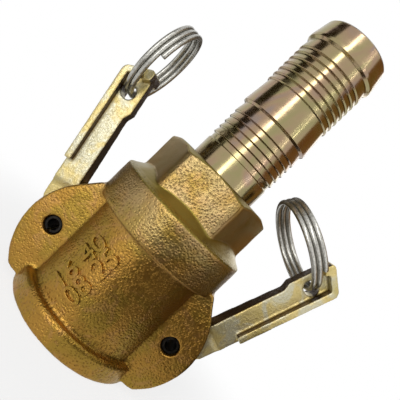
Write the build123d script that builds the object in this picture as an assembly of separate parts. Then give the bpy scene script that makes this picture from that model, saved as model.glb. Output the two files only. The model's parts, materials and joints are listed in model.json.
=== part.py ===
from build123d import *
import os
from math import cos, radians, sin, sqrt

# Camlock coupling: a forged socket with two cam levers and a screwed barbed hose tail.
# Millimetres. The origin is the centre of the socket's mouth face and +Z runs along the
# flow axis to the hose tail. The two pivot pins lie along Y, one at each side in X.

os.makedirs("parts", exist_ok=True)

# Socket, barrel and lip
socket_bore = 37.3
mouth_land = 9.0
cam_relief = 0.4
barrel_diameter = 44.6
barrel_height = 38.7
lip_diameter = 50.2
lip_height = 7.3
lip_round = 1.6
lip_foot_chamfer = 0.5

# Shoulder over the gasket, flare and hexagon
shoulder_diameter = 50.8
shoulder_height = 13.1
shoulder_round = 0.9
flare_height = 4.6
flare_slope = 1.5
hex_flats = 38.4
hex_turn = -3.1
hex_height = 16.7
hex_corner_round = 3.0
hex_chamfer_depth = 1.8
hex_chamfer_land = 0.4

# Gasket and its groove
gasket_outer = 39.6
gasket_bore = 27.0
gasket_thickness = 6.3
gasket_side_gap = 0.2
gasket_round = 0.6
gasket_above_ledge = 2.4

# Ears and pivot pins
pivot_offset = 26.3
pivot_height = 20.6
ear_outer_width = 21.0
lever_gap_width = 10.6
gap_floor = 1.2
ear_reach = 8.9
ear_half_height = 18.2
ear_neck_out = -1.3
ear_neck_over_foot = 2.3
ear_brow_out = 3.8
ear_brow_height = 14.1
ear_inner_reach = -12.0
ear_foot_reach = 1.4
ear_edge_round = 0.9
pin_diameter = 6.0
pin_wall = 1.1
pin_slot = 1.0
pin_recess = 1.2
pin_end_chamfer = 0.4
pin_fit = 0.01
lever_fit = 0.08

# Cam levers, drawn with the pivot at the origin: x is outward and y runs to the ring end
closed_tilt = 13.0
lever_right_tilt = 18.8
hub_diameter = 12.4
hub_width = 10.2
cam_heel_radius = 7.3
cam_nose_radius = 3.9
cam_nose_offset = 6.2
cam_width = 8.6
cam_back_radius = 4.4
cam_back_out = 4.9
cam_back_up = 5.2
slot_clearance = 0.9
arm_inner = 1.2
arm_outer = 9.6
arm_foot = 12.6
arm_foot_bevel = 2.2
arm_foot_width = 10.0
arm_end_width = 5.6
head_start = 39.5
head_widening = 1.3
head_step = 2.6
head_lean = 0.1
arm_inner_end = 54.2
hook_overhang = 0.3
hook_rise = 4.0
outer_end = 54.6
end_corner_round = 2.6
hook_round = 1.1
flange_thickness = 2.3
flange_start = 19.6
flange_foot_width = 16.0
flange_corner_in = 3.45
flange_end_width = 14.0
ring_hole = 5.0
ring_hole_out = 4.6
ring_hole_up = 47.9

# Pull rings: coiled round wire
ring_outer = 31.0
ring_wire = 1.8
ring_strand_gap = 0.06
ring_left_turns = 2.6
ring_right_turns = 2.77
ring_left_swing = -16.3
ring_right_swing = -76.2
ring_left_wire_end = 90.0
ring_right_wire_end = 122.0
ring_left_twist = 0.0
ring_right_twist = 8.0

# Hose tail, its screw thread and seal
tail_bore = 20.0
tail_end_bore_chamfer = 0.8
thread_crest = 26.4
thread_root = 24.2
thread_pitch = 1.8
thread_root_end = 0.15
thread_crest_start = 0.45
thread_crest_end = 0.7
thread_turns = 6
thread_gap = 0.1
thread_relief = 1.2
seal_thickness = 1.6
seal_bore = 21.0
seal_side_gap = 0.2
port_bore = 20.6
stem_diameter = 26.3
stem_length = 6.9
stem_round = 0.3
barb_root = 25.5
barb_crest = 26.8
barb_pitch = 2.43
barb_back = 0.35
lower_barbs = 5
upper_barbs = 7
lower_barb_lead = 2.5
middle_barb_crest = 27.6
middle_barb_lead = 4.7
middle_cone_length = 10.5
tip_barb_crest = 27.7
tip_barb_lead = 4.7
tip_land = 1.0
tip_cone_length = 6.7
tip_end_diameter = 25.2
tip_end_round = 0.7

# Places worked out from the sizes above
hex_foot = barrel_height + shoulder_height
hex_top = hex_foot + hex_height
gasket_low = barrel_height + gasket_above_ledge
gasket_high = gasket_low + gasket_thickness
tail_foot = hex_top - stem_round - thread_relief - thread_pitch * thread_turns
seal_low = tail_foot - seal_thickness
cam_reach = cam_nose_offset + cam_nose_radius
ring_mean_radius = (ring_outer - ring_wire) / 2
ring_pitch = ring_wire + ring_strand_gap
over = 1.0


def turned(points):
    """Solid of revolution about Z from a closed outline of (radius, height) points."""
    outline = make_face(Polyline(*points, close=True))
    return revolve(Plane.XZ * outline, axis=Axis.Z)


def flat_along_y(outline, width):
    """Plate of an outline drawn in (x, z), centred on the XZ plane."""
    return extrude(Plane.XZ * outline, amount=width / 2, both=True)


def across_x(outline, reach):
    """Bar of an outline drawn in (y, z), running along X to both sides."""
    return extrude(Plane.YZ * outline, amount=reach, both=True)


def drum(diameter, low, high):
    """Round bar on the flow axis between two heights."""
    return Pos(0, 0, (low + high) / 2) * Cylinder(diameter / 2, high - low)


def pin_bar(diameter, length, side):
    """Round bar along Y at one pivot."""
    return Pos(side * pivot_offset, 0, pivot_height) * Rot(90, 0, 0) * Cylinder(diameter / 2, length)


def ridges(low, count, pitch, root, crest):
    """Outline points of thread ridges going up from a height."""
    points = []
    for turn in range(count):
        start = low + turn * pitch
        points += [(root / 2, start), (root / 2, start + thread_root_end * pitch)]
        points += [(crest / 2, start + thread_crest_start * pitch), (crest / 2, start + thread_crest_end * pitch)]
    return points + [(root / 2, low + count * pitch)]


# Coupler body

def lip_and_barrel():
    lip = drum(lip_diameter, 0, lip_height)
    lip = fillet(lip.edges().group_by(Axis.Z)[-1], lip_round)
    lip = chamfer(lip.edges().group_by(Axis.Z)[0], lip_foot_chamfer)
    return lip + drum(barrel_diameter, 0, barrel_height + shoulder_height / 2)


def shoulder():
    ring = drum(shoulder_diameter, barrel_height, hex_foot)
    ring = fillet(ring.edges().group_by(Axis.Z)[-1], shoulder_round)
    ring = fillet(ring.edges().group_by(Axis.Z)[0], shoulder_round)
    flare_low = shoulder_diameter / 2 - shoulder_round
    flare_top = flare_low - flare_slope * flare_height
    flare = turned([(0, hex_foot - over), (flare_low, hex_foot - over), (flare_low, hex_foot),
                    (flare_top, hex_foot + flare_height), (0, hex_foot + flare_height)])
    return ring + flare


def hexagon():
    outline = RegularPolygon(hex_flats / 2, 6, major_radius=False, rotation=0)
    outline = fillet(outline.vertices(), hex_corner_round)
    nut = Pos(0, 0, hex_foot) * Rot(0, 0, hex_turn) * extrude(outline, amount=hex_height)
    corner = hex_flats / sqrt(3)
    land = hex_flats / 2 - hex_chamfer_land
    cone = turned([(0, hex_foot - over), (corner + over, hex_foot - over),
                   (corner + over, hex_top - hex_chamfer_depth - over / sqrt(3)),
                   (land, hex_top), (0, hex_top)])
    return nut & cone


def ear_pair(side):
    """Two parallel ears at one side, with the lever gap between them."""
    low = pivot_height - ear_half_height
    inner = pivot_offset + ear_inner_reach
    shelf = pivot_offset + ear_foot_reach
    neck = (pivot_offset + ear_neck_out, barrel_height + ear_neck_over_foot)
    brow = (pivot_offset + ear_brow_out, pivot_height + ear_brow_height)
    edge = Polyline(brow, neck, (inner, neck[1]), (inner, low - ear_foot_reach), (shelf, low))
    rim = ThreePointArc((shelf, low), (pivot_offset + ear_reach, pivot_height), brow)
    plate = flat_along_y(make_face([edge, rim]), ear_outer_width)
    rims = plate.edges().filter_by(GeomType.CIRCLE).group_by(Axis.Y)
    plate = fillet(rims[0] + rims[-1], ear_edge_round)
    gap = Pos(barrel_diameter, 0, lip_height + gap_floor + barrel_height)
    gap = gap * Box(barrel_diameter + 2 * over, lever_gap_width, 2 * barrel_height)
    ears = plate - gap
    return ears if side > 0 else mirror(ears, about=Plane.YZ)


def cam_slot(side):
    """Window through the barrel wall for one cam."""
    low = pivot_height - cam_heel_radius - slot_clearance
    high = pivot_height + cam_reach + slot_clearance
    reach = barrel_diameter / 2
    window = Pos(side * reach, 0, (low + high) / 2)
    return window * Box(reach, lever_gap_width, high - low)


def waterway():
    """Everything that is hollow along the axis, from the mouth to the thread."""
    relief_radius = socket_bore / 2 + cam_relief
    groove_radius = gasket_outer / 2 + gasket_side_gap
    outline = [(0, -over), (socket_bore / 2, -over)]
    outline += [(socket_bore / 2, mouth_land), (relief_radius, mouth_land + cam_relief)]
    outline += [(relief_radius, gasket_low), (groove_radius, gasket_low)]
    outline += [(groove_radius, gasket_high), (port_bore / 2, gasket_high)]
    seat_radius = thread_crest / 2 + thread_gap
    outline += [(port_bore / 2, seal_low), (seat_radius, seal_low), (seat_radius, tail_foot)]
    outline += ridges(tail_foot, thread_turns, thread_pitch, thread_root + 2 * thread_gap,
                      thread_crest + 2 * thread_gap)
    outline += [(seat_radius, hex_top - thread_relief), (seat_radius, hex_top + over), (0, hex_top + over)]
    return turned(outline)


def coupler_body():
    body = lip_and_barrel() + shoulder() + hexagon()
    for side in (-1, 1):
        body += ear_pair(side)
    body -= waterway()
    for side in (-1, 1):
        body -= cam_slot(side)
        body -= pin_bar(pin_diameter + 2 * pin_fit, ear_outer_width + over, side)
    return body


# Seals

def socket_gasket():
    ring = drum(gasket_outer, gasket_low, gasket_high) - drum(gasket_bore, gasket_low, gasket_high)
    return fillet(ring.edges().filter_by(GeomType.CIRCLE), gasket_round)


def thread_seal():
    outer = thread_crest - 2 * seal_side_gap
    return drum(outer, seal_low, tail_foot) - drum(seal_bore, seal_low, tail_foot)


# Slotted pivot pins

def pivot_pin(side):
    length = ear_outer_width - 2 * pin_recess
    bar = Cylinder(pin_diameter / 2, length)
    bar = chamfer(bar.edges().filter_by(GeomType.CIRCLE), pin_end_chamfer)
    bar -= Cylinder(pin_diameter / 2 - pin_wall, length)
    bar -= Pos(pin_diameter / 2, 0, 0) * Box(pin_diameter, pin_slot, length)
    turn = 90 if side > 0 else -90
    return Pos(side * pivot_offset, 0, pivot_height) * Rot(90, 0, 0) * Rot(0, 0, turn) * bar


# Cam levers

def inner_edge():
    """Points of the arm's inner edge, from the cam to the hooked end."""
    step = (arm_inner - head_widening, head_start + head_step)
    end = (step[0] - head_lean, arm_inner_end)
    return [(arm_inner, head_start), step, end]


def cam_outline():
    """Heel, nose and back of the cam as one hull; the nose is level in the closed pose."""
    nose_x = -cam_nose_offset * cos(radians(closed_tilt))
    nose_y = -cam_nose_offset * sin(radians(closed_tilt))
    circles = [Circle(cam_heel_radius), Pos(nose_x, nose_y) * Circle(cam_nose_radius)]
    circles.append(Pos(cam_back_out, cam_back_up) * Circle(cam_back_radius))
    return make_hull([circle.edge() for circle in circles])


def arm_outline():
    """The arm with its widened, slanting end."""
    hook = inner_edge()[-1]
    tip = (hook[0] - hook_overhang, arm_inner_end + hook_rise)
    points = [(arm_inner, 0), *inner_edge(), (hook[0] - hook_overhang, hook[1] + over), tip]
    points += [(arm_outer, outer_end), (arm_outer, cam_back_up), (cam_back_out, 0)]
    face = make_face(Polyline(*points, close=True))
    corner = face.vertices().sort_by_distance((arm_outer, outer_end))[0]
    face = fillet(corner, end_corner_round)
    peak = face.vertices().sort_by_distance(tip)[0]
    return fillet(peak, hook_round)


def flange_outline():
    """Raised flange along the arm's outer edge and round its end."""
    outline = arm_outline()
    hook = inner_edge()[-1]
    core = offset(outline, amount=-flange_thickness)
    reach = Polyline((arm_outer + over, flange_start), (arm_outer - flange_corner_in, flange_start),
                     (arm_outer - flange_corner_in, head_start + head_step),
                     (hook[0] + flange_thickness, arm_inner_end - over),
                     (hook[0] - 2 * hook_overhang, arm_inner_end + hook_overhang),
                     (hook[0] - 2 * hook_overhang, 2 * head_start), (arm_outer + over, 2 * head_start),
                     close=True)
    return (outline - core) & make_face(reach)


def tapered(outline, foot, foot_width, end_width, reach):
    """Plate of an outline whose thickness tapers from its foot to the lever's end."""
    plate = flat_along_y(outline, max(foot_width, end_width) + over)
    end = arm_inner_end + hook_rise
    section = make_face(Polyline((-reach / 2, -reach), (reach / 2, -reach), (reach / 2, foot - arm_foot_bevel),
                                 (foot_width / 2, foot), (end_width / 2, end), (-end_width / 2, end),
                                 (-foot_width / 2, foot), (-reach / 2, foot - arm_foot_bevel), close=True))
    return plate & across_x(section, 2 * end)


def drawn_lever():
    """The lever as drawn: pivot at the origin, outward along X and its end up along Z."""
    outline = cam_outline() + arm_outline()
    lever = tapered(outline, arm_foot, arm_foot_width, arm_end_width, cam_width)
    lever += tapered(flange_outline(), flange_start, flange_foot_width, flange_end_width, flange_foot_width)
    lever += Rot(90, 0, 0) * Cylinder(hub_diameter / 2, hub_width)
    lever -= Rot(90, 0, 0) * Cylinder(pin_diameter / 2 + lever_fit, ear_outer_width)
    lever -= Pos(ring_hole_out, 0, ring_hole_up) * Rot(90, 0, 0) * Cylinder(ring_hole / 2, ear_outer_width)
    return lever


def at_pivot(shape, tilt, side):
    """Tilt a drawn lever outward about its pin and put it on its side of the body."""
    placed = Pos(pivot_offset, 0, pivot_height) * Rot(0, tilt, 0) * shape
    return placed if side > 0 else mirror(placed, about=Plane.YZ)


def ring_hole_place(tilt, side):
    """Centre (x, z) of the ring hole of a tilted lever."""
    turn = radians(tilt)
    out = ring_hole_out * cos(turn) + ring_hole_up * sin(turn)
    up = ring_hole_up * cos(turn) - ring_hole_out * sin(turn)
    return side * (pivot_offset + out), pivot_height + up


# Pull rings

def pull_ring(tilt, swing, wire_end, turns, twist, side):
    """Coiled wire ring through a lever's hole; angles start at its far side, towards -Y."""
    hole_x, hole_z = ring_hole_place(tilt, side)
    lean = radians(tilt + swing)
    away = Vector(side * sin(lean), 0, cos(lean))
    near = Vector(0, -1, 0)
    along = away.cross(near) * cos(radians(twist)) - near * sin(radians(twist))
    centre = Vector(hole_x, 0, hole_z) + away * ring_mean_radius
    coil = Helix(ring_pitch, ring_pitch * turns, ring_mean_radius)
    wire = sweep(Plane(coil @ 0, z_dir=coil % 0) * Circle(ring_wire / 2), path=coil, is_frenet=True)
    first_angle = wire_end - 360 * turns
    middle = ring_pitch * (turns - (wire_end + 360) / 360)
    place = Plane(origin=centre, x_dir=away, z_dir=along)
    return place * Rot(0, 0, first_angle) * Pos(0, 0, -middle) * wire


# Hose tail

def barb(crest_height, crest, back):
    """One saw tooth: a short slope from the root out to the crest."""
    return [(barb_root / 2, crest_height - back), (crest / 2, crest_height)]


def hose_tail():
    stem_top = hex_top + stem_length
    outline = [(tail_bore / 2, tail_foot)]
    outline += ridges(tail_foot, thread_turns, thread_pitch, thread_root, thread_crest)
    outline += [(thread_root / 2, hex_top - stem_round), (stem_diameter / 2 - stem_round, hex_top - stem_round)]
    outline += [(stem_diameter / 2, hex_top), (stem_diameter / 2, stem_top)]
    outline += [(barb_root / 2, stem_top + stem_round)]
    height = stem_top + lower_barb_lead
    for _ in range(lower_barbs):
        outline += barb(height, barb_crest, barb_back)
        height += barb_pitch
    middle = height - barb_pitch + middle_barb_lead
    outline += barb(middle, middle_barb_crest, 2 * barb_back)
    height = middle + middle_cone_length
    for _ in range(upper_barbs):
        outline += barb(height, barb_crest, barb_back)
        height += barb_pitch
    tip = height - barb_pitch + tip_barb_lead
    land_top = tip + tip_land
    end = land_top + tip_cone_length
    outline += barb(tip, tip_barb_crest, 2 * barb_back)
    outline += [(tip_barb_crest / 2, land_top)]
    outline += [(tip_end_diameter / 2, end), (tip_end_diameter / 2 - tip_end_round, end + tip_end_round)]
    outline += [(tail_bore / 2 + tail_end_bore_chamfer, end + tip_end_round)]
    outline += [(tail_bore / 2, end + tip_end_round - tail_end_bore_chamfer)]
    return turned(outline)


def main():
    parts = {"coupler_body": coupler_body(), "socket_gasket": socket_gasket(),
             "thread_seal": thread_seal(), "hose_tail": hose_tail()}
    lever = drawn_lever()
    for name, side, tilt, swing, wire_end, turns, twist in (
            ("left", -1, closed_tilt, ring_left_swing, ring_left_wire_end, ring_left_turns, ring_left_twist),
            ("right", 1, lever_right_tilt, ring_right_swing, ring_right_wire_end, ring_right_turns,
             ring_right_twist)):
        parts["pivot_pin_" + name] = pivot_pin(side)
        parts["cam_lever_" + name] = at_pivot(lever, tilt, side)
        parts["pull_ring_" + name] = pull_ring(tilt, swing, wire_end, turns, twist, side)
        print(name, "ring hole (x, z):", ring_hole_place(tilt, side))
    for name, shape in parts.items():
        export_step(shape, "parts/" + name + ".step")


main()
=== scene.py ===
"""Looks of a camlock coupling: forged socket, cam levers, pull rings and a barbed hose tail.

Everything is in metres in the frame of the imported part: the origin is the centre of the
socket's mouth, +Z runs to the hose tail and the pivot pins lie along Y.
"""

import json
import logging
import math
from dataclasses import dataclass
from enum import Enum
from functools import cached_property
from typing import Any, Iterable, Sequence

import bmesh
import bpy
import numpy as np
from mathutils import Euler, Matrix, Vector, noise

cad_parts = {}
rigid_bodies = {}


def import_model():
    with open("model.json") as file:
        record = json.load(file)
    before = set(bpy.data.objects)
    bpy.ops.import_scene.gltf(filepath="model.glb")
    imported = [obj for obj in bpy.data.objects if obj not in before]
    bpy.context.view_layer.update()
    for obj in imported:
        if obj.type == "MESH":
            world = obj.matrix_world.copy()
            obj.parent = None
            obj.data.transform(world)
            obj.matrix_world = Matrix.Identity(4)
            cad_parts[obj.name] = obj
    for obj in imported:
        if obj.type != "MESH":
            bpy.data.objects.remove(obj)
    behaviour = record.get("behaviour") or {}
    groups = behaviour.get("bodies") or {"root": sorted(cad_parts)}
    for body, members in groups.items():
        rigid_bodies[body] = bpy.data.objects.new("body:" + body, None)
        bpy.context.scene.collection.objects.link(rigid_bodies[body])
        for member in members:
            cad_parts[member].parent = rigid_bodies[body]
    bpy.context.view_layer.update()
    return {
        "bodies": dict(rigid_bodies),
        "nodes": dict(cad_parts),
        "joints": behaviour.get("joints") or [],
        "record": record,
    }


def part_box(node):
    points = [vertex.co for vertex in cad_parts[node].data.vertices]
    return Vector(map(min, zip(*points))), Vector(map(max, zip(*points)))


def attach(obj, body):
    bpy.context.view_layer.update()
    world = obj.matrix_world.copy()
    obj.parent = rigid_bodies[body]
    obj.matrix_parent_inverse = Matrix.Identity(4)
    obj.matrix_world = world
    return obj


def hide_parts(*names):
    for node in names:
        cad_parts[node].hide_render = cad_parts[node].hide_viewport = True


MM = 0.001
log = logging.getLogger("camlock")

Point2 = tuple[float, float]
Colour = tuple[float, float, float]
WHITE: Colour = (1.0, 1.0, 1.0)


# ---------------------------------------------------------------- shader building

class Signal:
    """A number socket; using it in an expression adds Math nodes."""

    def __init__(self, tree: "ShaderTree", socket: bpy.types.NodeSocket) -> None:
        """Wrap a socket of a tree."""
        self.tree = tree
        self.socket = socket

    def _math(self, operation: str, *values: Any) -> "Signal":
        """Add one Math node.

        Args:
            operation: the Math node's operation.
            values: its inputs, in order.

        Returns:
            The node's result.
        """
        return self.tree.number("ShaderNodeMath", {"operation": operation}, dict(enumerate(values)))

    def __add__(self, other: Any) -> "Signal":
        """self + other."""
        return self._math("ADD", self, other)

    def __radd__(self, other: Any) -> "Signal":
        """other + self."""
        return self._math("ADD", other, self)

    def __sub__(self, other: Any) -> "Signal":
        """self - other."""
        return self._math("SUBTRACT", self, other)

    def __rsub__(self, other: Any) -> "Signal":
        """other - self."""
        return self._math("SUBTRACT", other, self)

    def __mul__(self, other: Any) -> "Signal":
        """self * other."""
        return self._math("MULTIPLY", self, other)

    def __rmul__(self, other: Any) -> "Signal":
        """other * self."""
        return self._math("MULTIPLY", other, self)

    def __pow__(self, other: Any) -> "Signal":
        """self to a power."""
        return self._math("POWER", self, other)

    def larger(self, other: Any) -> "Signal":
        """The larger of two values."""
        return self._math("MAXIMUM", self, other)

    def between(self, low: float, high: float) -> "Signal":
        """Smooth step from 0 at low to 1 at high."""
        settings = {"interpolation_type": "SMOOTHSTEP"}
        return self.tree.number("ShaderNodeMapRange", settings,
                                {"Value": self, "From Min": low, "From Max": high})


class ShaderTree:
    """The node tree of a material or a world, with the few calls that this part uses."""

    def __init__(self, name: str, kind: str = "materials") -> None:
        """Start the empty tree of a new material or world.

        Args:
            name: its name.
            kind: the collection of bpy.data that it goes into, "materials" or "worlds".
        """
        self.owner = getattr(bpy.data, kind).new(name)
        self.owner.use_nodes = True
        self.nodes = self.owner.node_tree.nodes
        self.links = self.owner.node_tree.links
        self.nodes.clear()

    @cached_property
    def place(self) -> bpy.types.NodeSocket:
        """Place on the part, in millimetres."""
        coordinates = self.node("ShaderNodeTexCoord", {}, {})
        scaled = self.node("ShaderNodeVectorMath", {"operation": "SCALE"},
                           {"Vector": coordinates.outputs["Object"], "Scale": 1 / MM})
        return scaled.outputs["Vector"]

    def node(self, kind: str, settings: dict[str, Any], inputs: dict[Any, Any]) -> bpy.types.Node:
        """Add a node.

        Args:
            kind: the node's type.
            settings: its own attributes, set first; "stops" fills a colour ramp.
            inputs: input name or number to a value, socket or Signal.

        Returns:
            The node.
        """
        made = self.nodes.new(kind)
        for key, value in settings.items():
            if key == "stops":
                self._fill_ramp(made.color_ramp, value)
            else:
                setattr(made, key, value)
        for key, value in inputs.items():
            self._feed(made.inputs[key], value)
        return made

    def _feed(self, target: bpy.types.NodeSocket, value: Any) -> None:
        """Link a socket or Signal to an input, or set a plain value."""
        if isinstance(value, Signal):
            value = value.socket
        if isinstance(value, bpy.types.NodeSocket):
            self.links.new(value, target)
        elif target.type == "RGBA":
            target.default_value = (*value[:3], 1.0)
        else:
            target.default_value = value

    def _fill_ramp(self, ramp: bpy.types.ColorRamp, stops: Sequence[tuple[float, Colour]]) -> None:
        """Give a ramp its stops, each a place and a colour."""
        while len(ramp.elements) < len(stops):
            ramp.elements.new(1.0)
        for element, (place, colour) in zip(ramp.elements, stops):
            element.position = place
            element.color = (*colour, 1.0)

    def number(self, kind: str, settings: dict[str, Any], inputs: dict[Any, Any], out: Any = 0) -> Signal:
        """Add a node and wrap one of its number outputs.

        Args:
            kind: the node's type.
            settings: its own attributes.
            inputs: its inputs, as for node().
            out: name or number of the output.

        Returns:
            The output.
        """
        return Signal(self, self.node(kind, settings, inputs).outputs[out])

    def stretched(self, scale: Sequence[float]) -> bpy.types.NodeSocket:
        """The place, multiplied by a scale along each axis."""
        made = self.node("ShaderNodeVectorMath", {"operation": "MULTIPLY"}, {0: self.place, 1: scale})
        return made.outputs["Vector"]

    def noise(self, size: float, detail: float = 3.0, roughness: float = 0.55,
              place: Any = None, distortion: float = 0.0) -> Signal:
        """Noise whose features are about size millimetres wide.

        Args:
            size: width of the features.
            detail: how many finer layers are added.
            roughness: how strong each finer layer is.
            place: where it is looked up, the plain place if not given.
            distortion: how far the noise is bent by itself.

        Returns:
            The noise, about 0 to 1.
        """
        inputs = {"Vector": place or self.place, "Scale": 1 / size, "Detail": detail,
                  "Roughness": roughness, "Distortion": distortion}
        return self.number("ShaderNodeTexNoise", {}, inputs, "Fac")

    def cells(self, size: float) -> Signal:
        """Distance to the nearest cell centre, for cells of about size millimetres."""
        return self.number("ShaderNodeTexVoronoi", {"feature": "F1"},
                           {"Vector": self.place, "Scale": 1 / size}, "Distance")

    def axis(self, name: str) -> Signal:
        """One coordinate of the place: X, Y or Z."""
        return self.number("ShaderNodeSeparateXYZ", {}, {0: self.place}, name)

    def facing(self, axis: str) -> Signal:
        """One part of the surface's direction: X, Y or Z, from -1 to 1."""
        coordinates = self.node("ShaderNodeTexCoord", {}, {})
        return self.number("ShaderNodeSeparateXYZ", {}, {0: coordinates.outputs["Normal"]}, axis)

    def mix(self, factor: Any, first: Any, second: Any) -> bpy.types.NodeSocket:
        """Mix two colours; 6, 7 and 2 are the Mix node's colour sockets."""
        made = self.node("ShaderNodeMix", {"data_type": "RGBA"}, {0: factor, 6: first, 7: second})
        return made.outputs[2]

    def ramp(self, factor: Any, stops: Sequence[tuple[float, Colour]]) -> bpy.types.NodeSocket:
        """Colour ramp over a factor."""
        return self.node("ShaderNodeValToRGB", {"stops": stops}, {0: factor}).outputs[0]

    def bump(self, height: Signal, depth: float) -> bpy.types.NodeSocket:
        """Bump from a height of 0 to 1 that stands for a depth in millimetres."""
        inputs = {"Height": height, "Distance": depth * MM, "Strength": 1.0}
        return self.node("ShaderNodeBump", {}, inputs).outputs[0]

    def hollow_mask(self, shallow: float = 0.49, deep: float = 0.42) -> Signal:
        """1 in inner corners of the mesh and 0 elsewhere, between two levels of Pointiness; the finishes
        use it to paint shade into corners.
        """
        return 1 - self.number("ShaderNodeNewGeometry", {}, {}, "Pointiness").between(deep, shallow)

    def finish(self, **inputs: Any) -> bpy.types.Material:
        """Close the tree with a Principled shader; underscores stand for spaces in its inputs."""
        named = {key.replace("_", " "): value for key, value in inputs.items()}
        shader = self.node("ShaderNodeBsdfPrincipled", {}, named)
        self.node("ShaderNodeOutputMaterial", {}, {"Surface": shader.outputs[0]})
        return self.owner


# ---------------------------------------------------------------- finishes

@dataclass(frozen=True)
class ForgedPlating:
    """Yellow zinc plating over a coarse forged grain, smoother high up on the sides, with painted shade in
    inner corners; heights are in mm.
    """

    name: str = "forged_yellow_zinc"
    gold: Colour = (0.37, 0.20, 0.038)
    olive: Colour = (0.29, 0.19, 0.030)
    rose: Colour = (0.38, 0.20, 0.07)
    silver: Colour = (0.36, 0.29, 0.16)
    brown: Colour = (0.12, 0.05, 0.010)
    soot: Colour = (0.02, 0.010, 0.003)
    grain: float = 0.8
    grain_depth: float = 0.26
    cloud_size: float = 11.0
    tint_size: float = 6.0
    wear_size: float = 9.0
    roughness: float = 0.33
    metallic: float = 0.95
    moss: Colour = (0.20, 0.155, 0.022)
    smooth_foot: float = 52.3
    smoothness: float = 0.85
    pale_middle: float = 41.0
    pale_half: float = 7.0
    pale_share: float = 0.55
    flare_foot: float = 51.0

    def _smooth_mask(self, tree: ShaderTree) -> Signal:
        """1 above the smooth foot, on the faces that don't face along Y."""
        front = tree.facing("Y")
        side = 1 - (front * front).between(0.64, 0.90)
        high = tree.axis("Z").between(self.smooth_foot - 0.5, self.smooth_foot + 0.5)
        return side * high

    def build(self) -> bpy.types.Material:
        """Make the material."""
        tree = ShaderTree(self.name)
        rough = 1 - self._smooth_mask(tree) * self.smoothness
        coarse = tree.noise(self.grain, detail=3.0, roughness=0.5)
        fine = tree.noise(self.grain / 2.6, detail=2.0)
        cells = tree.cells(self.grain).between(0.05, 0.6)
        clouds = tree.noise(self.cloud_size, detail=3.0, distortion=0.6)
        tint = tree.noise(self.tint_size, detail=2.0, distortion=1.5)
        # A paler silver mottle in a band around the shoulder's height.
        pale = tree.axis("Z").between(self.pale_middle - self.pale_half, self.pale_middle + self.pale_half)
        worn = pale * self.pale_share * tree.noise(self.wear_size, detail=2.0).between(0.2, 0.6)
        colour = tree.mix(clouds.between(0.38, 0.62) * 0.8, self.gold, self.olive)
        colour = tree.mix(tint.between(0.50, 0.70) * 0.5, colour, self.rose)
        colour = tree.mix(worn, colour, self.silver)
        colour = tree.mix((1 - cells) * 0.35 * rough, colour, self.brown)
        over_shoulder = tree.axis("Z").between(self.flare_foot - 1, self.flare_foot)
        flare = tree.facing("Z").between(0.30, 0.55) * over_shoulder
        colour = tree.mix(flare * 0.8, colour, self.moss)
        # Painted shade: inner corners and creases are darkened almost to black.
        colour = tree.mix(tree.hollow_mask(0.485, 0.43), colour, self.soot)
        height = coarse * 0.5 + fine * 0.15 + cells * 0.35
        return tree.finish(Base_Color=colour, Metallic=self.metallic,
                           Roughness=self.roughness + (1 - cells) * 0.12 * rough,
                           Normal=tree.bump(height * rough, self.grain_depth))


@dataclass(frozen=True)
class LeverPlating:
    """Pale silver-yellow zinc plating over a fine forged grain, with painted shade on the faces towards the
    body and in inner corners.
    """

    name: str = "lever_pale_zinc"
    pale: Colour = (0.60, 0.48, 0.21)
    silver: Colour = (0.56, 0.53, 0.39)
    straw: Colour = (0.42, 0.33, 0.08)
    # The colour of the painted shade.
    dark: Colour = (0.07, 0.035, 0.008)
    grain: float = 0.75
    grain_depth: float = 0.20
    cloud_size: float = 8.0
    straw_size: float = 12.0
    roughness: float = 0.32
    metallic: float = 0.8

    def build(self) -> bpy.types.Material:
        """Make the material."""
        tree = ShaderTree(self.name)
        coarse = tree.noise(self.grain, detail=4.0, roughness=0.6)
        fine = tree.noise(self.grain / 2.5, detail=2.0)
        clouds = tree.noise(self.cloud_size, detail=2.0, distortion=0.8)
        colour = tree.mix(clouds.between(0.4, 0.6), self.silver, self.pale)
        colour = tree.mix(tree.noise(self.straw_size).between(0.5, 0.68) * 0.6, colour, self.straw)
        speckle = (coarse * 0.6 + fine * 0.4).between(0.38, 0.56)
        colour = tree.mix((1 - speckle) * 0.4, colour, self.straw)
        # Painted shade: faces that look inward, towards the body, are darkened.
        outward = tree.axis("X").between(-1.0, 1.0) * 2 - 1
        inner = (0 - outward * tree.facing("X")).between(0.80, 0.93)
        colour = tree.mix(inner, colour, self.dark)
        # Painted shade: inner corners are darkened.
        colour = tree.mix(tree.hollow_mask(), colour, self.dark)
        return tree.finish(Base_Color=colour, Metallic=self.metallic,
                           Roughness=self.roughness + (1 - speckle) * 0.15,
                           Normal=tree.bump(coarse * 0.7 + fine * 0.3, self.grain_depth))


@dataclass(frozen=True)
class TurnedPlating:
    """Glossy yellow zinc plating on turned steel, with a rainbow tint."""

    name: str = "turned_yellow_zinc"
    gold: Colour = (0.35, 0.27, 0.15)
    green: Colour = (0.31, 0.27, 0.13)
    rose: Colour = (0.35, 0.24, 0.155)
    violet: Colour = (0.28, 0.22, 0.19)
    shade: Colour = (0.03, 0.017, 0.006)
    roughness: float = 0.16
    tool_mark: float = 0.12
    tool_depth: float = 0.004
    smudge_size: float = 5.0

    def build(self) -> bpy.types.Material:
        """Make the material."""
        tree = ShaderTree(self.name)
        tint = tree.noise(1.0, detail=2.0, place=tree.stretched((0.11, 0.11, 0.05)), distortion=0.9)
        colour = tree.ramp(tint, [(0.30, self.violet), (0.42, self.rose), (0.50, self.gold),
                                  (0.60, self.green), (0.72, self.gold)])
        marks = tree.noise(self.tool_mark, detail=1.0, place=tree.stretched((0.02, 0.02, 1.0)))
        smudge = tree.noise(self.smudge_size, detail=3.0)
        colour = tree.mix(tree.hollow_mask(0.49, 0.46), colour, self.shade)
        return tree.finish(Base_Color=colour, Metallic=1.0,
                           Roughness=self.roughness + smudge.between(0.45, 0.7) * 0.10,
                           Normal=tree.bump(marks, self.tool_depth))


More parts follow.
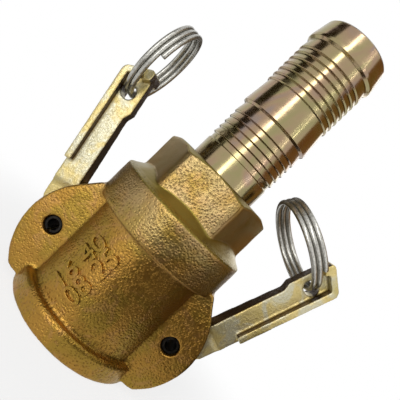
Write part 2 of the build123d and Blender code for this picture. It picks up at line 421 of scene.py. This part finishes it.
@dataclass(frozen=True)
class DrawnWire:
    """Plain bright drawn steel wire."""

    name: str = "bright_wire"
    steel: Colour = (0.50, 0.49, 0.45)
    dark: Colour = (0.12, 0.12, 0.10)
    streak_size: float = 0.5
    streak_depth: float = 0.01
    roughness: float = 0.26

    def build(self) -> bpy.types.Material:
        """Make the material."""
        tree = ShaderTree(self.name)
        streaks = tree.noise(self.streak_size, detail=4.0, distortion=0.6)
        colour = tree.mix((1 - streaks.between(0.35, 0.6)) * 0.5, self.steel, self.dark)
        return tree.finish(Base_Color=colour, Metallic=1.0,
                           Roughness=self.roughness + streaks * 0.12,
                           Normal=tree.bump(streaks, self.streak_depth))


@dataclass(frozen=True)
class DarkSteel:
    """Oiled dark spring steel."""

    name: str = "dark_spring_steel"
    steel: Colour = (0.012, 0.011, 0.010)
    worn: Colour = (0.03, 0.026, 0.02)
    mottle_size: float = 0.6
    mottle_depth: float = 0.01
    roughness: float = 0.35
    metallic: float = 0.9

    def build(self) -> bpy.types.Material:
        """Make the material."""
        tree = ShaderTree(self.name)
        mottle = tree.noise(self.mottle_size, detail=3.0)
        colour = tree.mix(mottle.between(0.4, 0.7), self.steel, self.worn)
        return tree.finish(Base_Color=colour, Metallic=self.metallic,
                           Roughness=self.roughness + mottle * 0.2,
                           Normal=tree.bump(mottle, self.mottle_depth))


@dataclass(frozen=True)
class MouldedRubber:
    """Black moulded rubber with a light bloom."""

    name: str = "black_rubber"
    black: Colour = (0.022, 0.022, 0.022)
    bloom: Colour = (0.06, 0.058, 0.055)
    mottle_size: float = 2.5
    grain: float = 0.25
    grain_depth: float = 0.02
    roughness: float = 0.55

    def build(self) -> bpy.types.Material:
        """Make the material."""
        tree = ShaderTree(self.name)
        mottle = tree.noise(self.mottle_size, detail=4.0)
        grain = tree.noise(self.grain, detail=2.0)
        colour = tree.mix(mottle.between(0.45, 0.7), self.black, self.bloom)
        return tree.finish(Base_Color=colour, Metallic=0.0,
                           Roughness=self.roughness + mottle * 0.15,
                           Normal=tree.bump(grain, self.grain_depth))


class Finish(Enum):
    """The finishes of this part, by the slot that each stands for."""

    BODY = ForgedPlating()
    LEVER = LeverPlating()
    TAIL = TurnedPlating()
    WIRE = DrawnWire()
    PIN = DarkSteel()
    RUBBER = MouldedRubber()

    def material(self) -> bpy.types.Material:
        """The finish's material, made the first time it is asked for."""
        return bpy.data.materials.get(self.value.name) or self.value.build()


# ---------------------------------------------------------------- mesh building

def new_piece(name: str, mesh: bpy.types.Mesh, finish: Finish) -> bpy.types.Object:
    """Put a mesh in the scene as a piece, shaded smooth.

    Args:
        name: the piece's name.
        mesh: its mesh, in the part's frame.
        finish: its finish.

    Returns:
        The piece.
    """
    piece = bpy.data.objects.new(name, mesh)
    bpy.context.scene.collection.objects.link(piece)
    mesh.materials.clear()
    mesh.materials.append(finish.material())
    mesh.polygons.foreach_set("use_smooth", [True] * len(mesh.polygons))
    return piece


def solid_mesh(name: str, vertices: Iterable[Sequence[float]],
               faces: Iterable[Sequence[int]]) -> bpy.types.Mesh:
    """Mesh from vertices and faces, with its normals facing out.

    Args:
        name: the mesh's name.
        vertices: their places in metres.
        faces: vertex numbers of each face.

    Returns:
        The mesh.
    """
    mesh = bpy.data.meshes.new(name)
    mesh.from_pydata([tuple(v) for v in vertices], [], [tuple(f) for f in faces])
    work = bmesh.new()
    work.from_mesh(mesh)
    bmesh.ops.recalc_face_normals(work, faces=work.faces)
    work.to_mesh(mesh)
    work.free()
    return mesh


def rounded(points: Sequence[Point2], radius: float, steps: int = 3) -> list[Point2]:
    """Round every corner of a closed outline.

    Args:
        points: the outline's corners.
        radius: how far along each side a corner's arc begins, at most a third of the side.
        steps: how many edges an arc has.

    Returns:
        The outline with arcs.
    """
    made: list[Point2] = []
    count = len(points)
    for index in range(count):
        before, here, after = (Vector(points[(index + k) % count]) for k in (-1, 0, 1))
        start = here + (before - here).normalized() * min(radius, (before - here).length / 3)
        end = here + (after - here).normalized() * min(radius, (after - here).length / 3)
        for step in range(steps + 1):
            t = step / steps
            spot = start * (1 - t) ** 2 + here * 2 * t * (1 - t) + end * t ** 2
            made.append((spot.x, spot.y))
    return made


def lathe(name: str, outline: Sequence[Point2], segments: int = 256) -> bpy.types.Mesh:
    """Turn a closed outline about Z.

    Args:
        name: the mesh's name.
        outline: its points, as (radius, height) in millimetres.
        segments: how many faces go round.

    Returns:
        The turned mesh.
    """
    angles = [2 * math.pi * k / segments for k in range(segments)]
    vertices = [(r * math.cos(a) * MM, r * math.sin(a) * MM, z * MM) for a in angles for r, z in outline]
    count = len(outline)
    faces = []
    for k in range(segments):
        here, there = k * count, (k + 1) % segments * count
        faces += [(here + i, there + i, there + (i + 1) % count, here + (i + 1) % count)
                  for i in range(count)]
    return solid_mesh(name, vertices, faces)


def add_modifier(piece: bpy.types.Object, kind: str, **settings: Any) -> None:
    """Add a modifier with its settings."""
    made = piece.modifiers.new(kind.lower(), kind)
    for key, value in settings.items():
        setattr(made, key, value)


def applied(piece: bpy.types.Object) -> bpy.types.Mesh:
    """The piece's mesh with its modifiers applied; the piece is removed."""
    graph = bpy.context.evaluated_depsgraph_get()
    mesh = bpy.data.meshes.new_from_object(piece.evaluated_get(graph))
    bpy.data.objects.remove(piece)
    return mesh


@dataclass(frozen=True)
class ForgedSkin:
    """Turns a CAD node into a forging: soft edges and a slightly uneven surface."""

    voxel: float = 0.45
    smoothing: int = 4
    swell: float = 0.10
    swell_size: float = 5.0

    def build(self, node: bpy.types.Object, name: str) -> bpy.types.Mesh:
        """Remesh and soften a node's mesh.

        Args:
            node: the CAD node that gives the shape.
            name: name of the new mesh.

        Returns:
            The new mesh.
        """
        work = bpy.data.objects.new(name, node.data.copy())
        bpy.context.scene.collection.objects.link(work)
        add_modifier(work, "REMESH", mode="VOXEL", voxel_size=self.voxel * MM)
        add_modifier(work, "SMOOTH", factor=0.5, iterations=self.smoothing)
        mesh = applied(work)
        self._make_uneven(mesh)
        return mesh

    def _make_uneven(self, mesh: bpy.types.Mesh) -> None:
        """Move the vertices along their normals by a soft noise."""
        places = np.empty(len(mesh.vertices) * 3)
        mesh.vertices.foreach_get("co", places)
        normals = np.empty(len(mesh.vertices) * 3)
        mesh.vertex_normals.foreach_get("vector", normals)
        places, normals = places.reshape(-1, 3), normals.reshape(-1, 3)
        waves = [noise.noise(Vector(p) / (self.swell_size * MM)) for p in places]
        shift = (np.array(waves) - 0.5) * self.swell * MM
        mesh.vertices.foreach_set("co", (places + normals * shift[:, None]).ravel())


# ---------------------------------------------------------------- sub-assemblies

@dataclass
class CouplerBody:
    """The forged socket with its gasket, seal and the raised numbers on its barrel."""

    frame: dict[str, Any]
    barrel_radius: float = 22.3
    number_size: float = 8.6
    number_rise: float = 0.75
    number_bevel: float = 0.15
    number_centre: float = 21.8
    number_sink: float = 0.3
    number_rows: tuple[tuple[str, float], ...] = (("16 40", -11.6), ("08 25", -5.5))
    gasket_bore: float = 13.5
    gasket_round: float = 0.7

    def build(self) -> list[bpy.types.Object]:
        """Make the pieces."""
        return [self._skin(), self._numbers(), self._gasket(), self._seal()]

    def _skin(self) -> bpy.types.Object:
        """The forging itself."""
        mesh = ForgedSkin().build(self.frame["nodes"]["coupler_body"], "forged_body")
        piece = new_piece("forged_body", mesh, Finish.BODY)
        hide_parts("coupler_body")
        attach(piece, "coupler")
        return piece

    def _numbers(self) -> bpy.types.Object:
        """Two rows of plain raised figures that read along the axis."""
        work = bmesh.new()
        for text, across in self.number_rows:
            work.from_mesh(self._figures(text, across))
        mesh = bpy.data.meshes.new("raised_numbers")
        work.to_mesh(mesh)
        work.free()
        piece = new_piece("raised_numbers", mesh, Finish.BODY)
        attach(piece, "coupler")
        return piece

    def _figures(self, text: str, across: float) -> bpy.types.Mesh:
        """One row of figures, bent onto the barrel.

        Args:
            text: the figures.
            across: where the row's middle lies along X, in millimetres.

        Returns:
            The row's mesh in the part's frame.
        """
        curve = bpy.data.curves.new(text, "FONT")
        curve.body = text
        curve.size = self.number_size * MM
        curve.align_x = "CENTER"
        curve.align_y = "CENTER"
        curve.extrude = self.number_rise / 2 * MM
        curve.bevel_depth = self.number_bevel * MM
        curve.bevel_resolution = 2
        holder = bpy.data.objects.new(text, curve)
        bpy.context.scene.collection.objects.link(holder)
        mesh = applied(holder)
        radius = self.barrel_radius * MM
        for vertex in mesh.vertices:
            along, up, out = vertex.co
            turn = (across * MM - up) / radius
            reach = radius + out + self.number_sink * self.number_rise * MM
            vertex.co = (reach * math.sin(turn), -reach * math.cos(turn), self.number_centre * MM + along)
        return mesh

    def _gasket(self) -> bpy.types.Object:
        """The moulded ring at the socket's floor."""
        low, high = (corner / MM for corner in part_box("socket_gasket"))
        outer, inner = high.x, self.gasket_bore
        outline = [(inner, low.z), (outer, low.z), (outer, high.z), (inner, high.z)]
        mesh = lathe("moulded_gasket", rounded(outline, self.gasket_round, 5), 160)
        piece = new_piece("moulded_gasket", mesh, Finish.RUBBER)
        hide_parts("socket_gasket")
        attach(piece, "coupler")
        return piece

    def _seal(self) -> bpy.types.Object:
        """The flat washer under the tail keeps its CAD shape."""
        node = self.frame["nodes"]["thread_seal"]
        dress_node(node, Finish.RUBBER)
        return node


def dress_node(node: bpy.types.Object, finish: Finish) -> None:
    """Give a CAD node its finish."""
    node.data.materials.clear()
    node.data.materials.append(finish.material())


@dataclass
class HoseTail:
    """The turned tail: thread, plain stem, two groups of barbs and the tip."""

    bore: float = 20.0
    thread_crest: float = 26.4
    thread_root: float = 24.2
    thread_pitch: float = 1.8
    thread_turns: int = 6
    thread_relief: float = 1.2
    stem: float = 26.3
    stem_length: float = 6.9
    stem_round: float = 0.3
    root: float = 25.5
    crest: float = 26.8
    pitch: float = 2.43
    back: float = 0.35
    lower_barbs: int = 5
    upper_barbs: int = 7
    lower_lead: float = 2.5
    middle_crest: float = 27.6
    middle_lead: float = 4.7
    middle_cone: float = 10.5
    tip_crest: float = 27.7
    tip_lead: float = 4.7
    tip_land: float = 1.0
    tip_cone: float = 6.7
    tip_end: float = 25.2
    tip_round: float = 0.7
    bore_chamfer: float = 0.8
    edge: float = 0.12

    def _thread(self, low: float) -> list[Point2]:
        """Ridges of the thread, up from a height."""
        points: list[Point2] = []
        for turn in range(self.thread_turns):
            start = low + turn * self.thread_pitch
            shares = ((self.thread_root, 0.0), (self.thread_root, 0.15), (self.thread_crest, 0.45),
                      (self.thread_crest, 0.7))
            points += [(width / 2, start + share * self.thread_pitch) for width, share in shares]
        return points + [(self.thread_root / 2, low + self.thread_turns * self.thread_pitch)]

    def _barb(self, height: float, crest: float, back: float) -> list[Point2]:
        """A short slope from the root out to a crest."""
        return [(self.root / 2, height - back), (crest / 2, height)]

    def _barb_group(self, height: float, count: int) -> tuple[list[Point2], float]:
        """A row of equal barbs.

        Args:
            height: the first crest's height.
            count: how many barbs.

        Returns:
            Their points, and the last crest's height.
        """
        points: list[Point2] = []
        for index in range(count):
            points += self._barb(height + index * self.pitch, self.crest, self.back)
        return points, height + (count - 1) * self.pitch

    def outline(self, foot: float) -> list[Point2]:
        """Closed outline of the tail.

        Args:
            foot: height of its lower end.

        Returns:
            Points of (radius, height), in millimetres.
        """
        hex_top = foot + self.thread_turns * self.thread_pitch + self.thread_relief + self.stem_round
        stem_top = hex_top + self.stem_length
        points = [(self.bore / 2, foot)] + self._thread(foot)
        points += [(self.thread_root / 2, hex_top - self.stem_round),
                   (self.stem / 2 - self.stem_round, hex_top - self.stem_round),
                   (self.stem / 2, hex_top), (self.stem / 2, stem_top),
                   (self.root / 2, stem_top + self.stem_round)]
        lower, height = self._barb_group(stem_top + self.lower_lead, self.lower_barbs)
        middle = height + self.middle_lead
        points += lower + self._barb(middle, self.middle_crest, 2 * self.back)
        upper, height = self._barb_group(middle + self.middle_cone, self.upper_barbs)
        tip = height + self.tip_lead
        end = tip + self.tip_land + self.tip_cone
        points += upper + self._barb(tip, self.tip_crest, 2 * self.back)
        points += [(self.tip_crest / 2, tip + self.tip_land), (self.tip_end / 2, end),
                   (self.tip_end / 2 - self.tip_round, end + self.tip_round),
                   (self.bore / 2 + self.bore_chamfer, end + self.tip_round),
                   (self.bore / 2, end + self.tip_round - self.bore_chamfer)]
        return points

    def build(self) -> list[bpy.types.Object]:
        """Make the piece."""
        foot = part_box("hose_tail")[0].z / MM
        mesh = lathe("turned_tail", rounded(self.outline(foot), self.edge))
        piece = new_piece("turned_tail", mesh, Finish.TAIL)
        add_modifier(piece, "WEIGHTED_NORMAL", mode="FACE_AREA", weight=80)
        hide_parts("hose_tail")
        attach(piece, "coupler")
        return [piece]


class Side(Enum):
    """The two sides of the coupling."""

    LEFT = -1
    RIGHT = 1

    @property
    def label(self) -> str:
        """The side's name in the CAD's names."""
        return self.name.lower()


@dataclass
class LeverSet:
    """One side's cam lever with its pivot pin and pull ring."""

    frame: dict[str, Any]
    side: Side
    wire_end: float
    turns: float
    twist: float
    ring_diameter: float = 31.0
    wire: float = 1.8
    strand_gap: float = 0.06
    end_bevel: float = 0.15
    wire_steps: int = 110
    wire_sides: int = 20

    def build(self) -> list[bpy.types.Object]:
        """Make the pieces."""
        return [self._lever(), self._pin(), self._ring()]

    def _lever(self) -> bpy.types.Object:
        """The forged lever."""
        name = f"forged_lever_{self.side.label}"
        skin = ForgedSkin(voxel=0.35, smoothing=3, swell=0.06, swell_size=3.0)
        mesh = skin.build(self.frame["nodes"][f"cam_lever_{self.side.label}"], name)
        piece = new_piece(name, mesh, Finish.LEVER)
        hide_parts(f"cam_lever_{self.side.label}")
        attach(piece, f"lever_{self.side.label}")
        return piece

    def _pin(self) -> bpy.types.Object:
        """The slotted pin keeps its CAD shape."""
        node = self.frame["nodes"][f"pivot_pin_{self.side.label}"]
        dress_node(node, Finish.PIN)
        return node

    def _ring_axes(self) -> tuple[Vector, Vector, Vector, Vector]:
        """The coil's centre, and its directions: away from the hole, near side, along the coil."""
        joint = next(j for j in self.frame["joints"] if j["name"] == f"ring_{self.side.label}_swing")
        hole = Vector(joint["pos_m"])
        low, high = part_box(f"pull_ring_{self.side.label}")
        away = (low + high) / 2 - hole
        away.y = 0
        away.normalize()
        front = Vector((0, -1, 0))
        across = away.cross(front)
        twist = math.radians(self.twist)
        near = front * math.cos(twist) + across * math.sin(twist)
        return hole + away * self._mean_radius(), away, near, away.cross(near)

    def _mean_radius(self) -> float:
        """Radius of the coil's wire line, in metres."""
        return (self.ring_diameter - self.wire) / 2 * MM

    def _wire_stops(self) -> list[tuple[float, float]]:
        """Shares of the wire's length with its thickness there; each end has a small bevel."""
        count = int(self.wire_steps * self.turns)
        bevel = self.end_bevel / count
        inner = [(k / count, 1.0) for k in range(1, count)]
        thin = 1 - 2 * self.end_bevel / self.wire
        return [(0.0, thin), (bevel, 1.0), *inner, (1 - bevel, 1.0), (1.0, thin)]

    def _ring(self) -> bpy.types.Object:
        """The coiled ring, as a round wire along a helix."""
        centre, away, near, along = self._ring_axes()
        pitch = (self.wire + self.strand_gap) * MM
        last = math.radians(self.wire_end)
        first = last - 2 * math.pi * self.turns
        middle = pitch * (self.turns - (self.wire_end + 360) / 360)
        spins = [2 * math.pi * k / self.wire_sides for k in range(self.wire_sides)]
        rows = []
        for share, thickness in self._wire_stops():
            angle = first + (last - first) * share
            outward = away * math.cos(angle) + near * math.sin(angle)
            spot = centre + outward * self._mean_radius() + along * (pitch * self.turns * share - middle)
            reach = self.wire / 2 * MM * thickness
            rows.append([spot + (outward * math.cos(s) + along * math.sin(s)) * reach for s in spins])
        name = f"coiled_ring_{self.side.label}"
        piece = new_piece(name, tube_mesh(name, rows), Finish.WIRE)
        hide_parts(f"pull_ring_{self.side.label}")
        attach(piece, f"ring_{self.side.label}")
        return piece


def tube_mesh(name: str, rows: Sequence[Sequence[Vector]]) -> bpy.types.Mesh:
    """Closed tube through rows of points.

    Args:
        name: the mesh's name.
        rows: the tube's rims in order, in metres; the first and the last are capped.

    Returns:
        The tube's mesh.
    """
    sides = len(rows[0])
    vertices = [point for row in rows for point in row]
    faces = []
    for index in range(len(rows) - 1):
        here, there = index * sides, (index + 1) * sides
        faces += [(here + k, here + (k + 1) % sides, there + (k + 1) % sides, there + k)
                  for k in range(sides)]
    faces += [tuple(range(sides)), tuple(range(len(vertices) - sides, len(vertices)))]
    return solid_mesh(name, vertices, faces)


# ---------------------------------------------------------------- studio

@dataclass(frozen=True)
class StagePiece:
    """A flat thing that faces the part's axis.

    Its angle is in degrees about Z, from the camera's side towards +X. Its distance from the axis,
    its height over the mouth's plane and its size are in millimetres.
    """

    name: str
    angle: float
    distance: float
    height: float
    size: Point2

    def place(self) -> Matrix:
        """Where it stands, turned to the axis."""
        turn = math.radians(self.angle)
        spot = Vector((math.sin(turn) * self.distance, -math.cos(turn) * self.distance, self.height)) * MM
        aim = (Vector((0, 0, spot.z)) - spot).to_track_quat("-Z", "Y").to_matrix().to_4x4()
        return Matrix.Translation(spot) @ aim


@dataclass(frozen=True)
class Lamp(StagePiece):
    """A rectangular lamp, with its power in watts."""

    power: float

    def build(self) -> None:
        """Put it in the scene."""
        light = bpy.data.lights.new(self.name, "AREA")
        light.shape = "RECTANGLE"
        light.size, light.size_y = (side * MM for side in self.size)
        light.energy = self.power
        lamp = bpy.data.objects.new(self.name, light)
        lamp.matrix_world = self.place()
        bpy.context.scene.collection.objects.link(lamp)


@dataclass(frozen=True)
class Card(StagePiece):
    """A rectangular card that only gloss shows, with its dim glow."""

    glow: Colour

    def build(self) -> None:
        """Put it in the scene."""
        w, h = (side * MM / 2 for side in self.size)
        card = gloss_card(self.name, [(-w, -h, 0), (w, -h, 0), (w, h, 0), (-w, h, 0)], self.glow)
        card.matrix_world = self.place()


def flat_piece(name: str, rim: Sequence[Sequence[float]], material: bpy.types.Material) -> bpy.types.Object:
    """A thing of one face, in the scene.

    Args:
        name: its name.
        rim: its four corners in metres.
        material: its material.

    Returns:
        The thing.
    """
    mesh = bpy.data.meshes.new(name)
    mesh.from_pydata(rim, [], [(0, 1, 2, 3)])
    mesh.materials.append(material)
    piece = bpy.data.objects.new(name, mesh)
    bpy.context.scene.collection.objects.link(piece)
    return piece


def gloss_card(name: str, rim: Sequence[Sequence[float]], glow: Colour) -> bpy.types.Object:
    """A flat card that only gloss shows.

    Args:
        name: the card's name.
        rim: its four corners in metres.
        glow: its light, which doesn't depend on the lamps.

    Returns:
        The card.
    """
    tree = ShaderTree(f"{name}_paint")
    shine = tree.node("ShaderNodeEmission", {}, {"Color": glow, "Strength": 1.0})
    tree.node("ShaderNodeOutputMaterial", {}, {"Surface": shine.outputs[0]})
    card = flat_piece(name, rim, tree.owner)
    card.visible_camera = card.visible_shadow = card.visible_diffuse = False
    return card


@dataclass
class Studio:
    """Pale floor, lamps, cards that only gloss shows, and the camera."""

    distance: float = 147.0
    foot: float = 65.6
    roll: float = 46.0
    shift: Point2 = (-0.039, -0.038)
    focal_share: float = 1.1025
    sensor: float = 36.0
    near_clip: float = 0.01
    floor_size: float = 900.0
    floor_drop: float = 0.2
    floor_colour: Colour = (0.92, 0.92, 0.92)
    floor_fade: Point2 = (45.0, 120.0)
    floor_lift: float = 0.8
    soft_light: float = 0.26
    lamps: tuple[Lamp, ...] = (
        Lamp("strip", -17.0, 420.0, 500.0, (90.0, 1000.0), power=1.75),
        Lamp("thin_strip", 56.0, 420.0, 500.0, (9.0, 1000.0), power=0.25),
        Lamp("thinner_strip", 47.0, 420.0, 500.0, (5.0, 1000.0), power=0.10),
        Lamp("back_soft", 150.0, 450.0, 250.0, (300.0, 300.0), power=0.3))
    cards: tuple[Card, ...] = (
        Card("left_card", -88.0, 320.0, 440.0, (190.0, 900.0), glow=(0.04, 0.03, 0.015)),
        Card("right_card", 112.0, 320.0, 440.0, (400.0, 900.0), glow=(0.30, 0.17, 0.05)),
        Card("low_left_card", -125.0, 300.0, 35.0, (380.0, 80.0), glow=(0.36, 0.33, 0.26)),
        Card("back_card", 180.0, 75.0, 130.0, (70.0, 270.0), glow=(0.06, 0.045, 0.03)))
    low_card_span: Point2 = (-9.0, 125.0)
    low_card_radius: float = 62.0
    low_card_top: float = 46.0
    low_card_parts: int = 12
    low_card_glow: Colour = (0.06, 0.04, 0.015)

    def build(self) -> None:
        """Set the stage."""
        self._world()
        self._floor()
        for piece in (*self.lamps, *self.cards):
            piece.build()
        self._low_card()
        self._camera()
        bpy.context.scene.view_settings.view_transform = "Standard"

    def _seen(self, tree: ShaderTree) -> Signal:
        """1 for what the camera or the gloss sees."""
        path = tree.node("ShaderNodeLightPath", {}, {}).outputs
        return Signal(tree, path["Is Camera Ray"]).larger(path["Is Glossy Ray"])

    def _world(self) -> None:
        """White where the camera, the gloss or a clear thing looks, and a soft light for the rest."""
        tree = ShaderTree("studio", kind="worlds")
        path = tree.node("ShaderNodeLightPath", {}, {}).outputs
        white = self._seen(tree).larger(path["Is Transmission Ray"])
        soft, bright = (tree.node("ShaderNodeBackground", {}, {"Color": WHITE, "Strength": strength})
                        for strength in (self.soft_light, 1.0))
        mixed = tree.node("ShaderNodeMixShader", {}, {0: white, 1: soft.outputs[0], 2: bright.outputs[0]})
        tree.node("ShaderNodeOutputWorld", {}, {"Surface": mixed.outputs[0]})
        bpy.context.scene.world = tree.owner

    def _floor(self) -> None:
        """A plain sheet just under the mouth."""
        half, low = self.floor_size * MM, -self.floor_drop * MM
        rim = [(-half, -half, low), (half, -half, low), (half, half, low), (-half, half, low)]
        floor = flat_piece("floor", rim, self._floor_material())

    def _floor_material(self) -> bpy.types.Material:
        """Matt to the light; to the camera mostly clear near the part and wholly clear further away."""
        tree = ShaderTree("pale_floor")
        x, y = tree.axis("X"), tree.axis("Y")
        reach = (x * x + y * y) ** 0.5
        lift = self.floor_lift + (1 - self.floor_lift) * reach.between(*self.floor_fade)
        matt = tree.node("ShaderNodeBsdfDiffuse", {}, {"Color": self.floor_colour})
        clear = tree.node("ShaderNodeBsdfTransparent", {}, {"Color": WHITE})
        mixed = tree.node("ShaderNodeMixShader", {}, {0: self._seen(tree) * lift,
                                                      1: matt.outputs[0], 2: clear.outputs[0]})
        tree.node("ShaderNodeOutputMaterial", {}, {"Surface": mixed.outputs[0]})
        return tree.owner

    def _low_card(self) -> None:
        """A low curved card around the part's foot, from flat ones."""
        first, last = (math.radians(angle) for angle in self.low_card_span)
        turns = [first + (last - first) * k / self.low_card_parts for k in range(self.low_card_parts + 1)]
        radius, top = self.low_card_radius * MM, self.low_card_top * MM
        rim = [(math.sin(t) * radius, -math.cos(t) * radius) for t in turns]
        for k, (a, b) in enumerate(zip(rim, rim[1:])):
            gloss_card(f"low_card_{k}", [(*a, 0), (*b, 0), (*b, top), (*a, top)], self.low_card_glow)

    def _camera(self) -> None:
        """A close camera that looks along +Y and is rolled, so the axis rises to the right."""
        data = bpy.data.cameras.new("camera")
        data.sensor_width = self.sensor
        data.lens = self.sensor * self.focal_share
        data.clip_start = self.near_clip
        data.shift_x, data.shift_y = self.shift
        camera = bpy.data.objects.new("camera", data)
        place = Vector((0, -self.distance, self.foot)) * MM
        turn = Euler((math.pi / 2, 0, 0)).to_matrix().to_4x4()
        spin = Matrix.Rotation(math.radians(self.roll), 4, "Z")
        camera.matrix_world = Matrix.Translation(place) @ turn @ spin
        bpy.context.scene.collection.objects.link(camera)
        bpy.context.scene.camera = camera


# ---------------------------------------------------------------- main


def main() -> None:
    """Build everything around the frame and report each piece."""
    logging.basicConfig(level=logging.INFO, format="%(name)s: %(message)s")
    for thing in list(bpy.data.objects):
        bpy.data.objects.remove(thing)
    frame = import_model()
    assemblies = (CouplerBody(frame), HoseTail(),
                  LeverSet(frame, Side.LEFT, wire_end=90.0, turns=2.6, twist=0.0),
                  LeverSet(frame, Side.RIGHT, wire_end=122.0, turns=2.77, twist=8.0))
    for assembly in assemblies:
        for piece in assembly.build():
            log.info("%s: %s has %d faces", type(assembly).__name__, piece.name,
                     len(piece.data.polygons))
    Studio().build()


if __name__ == "__main__":
    main()
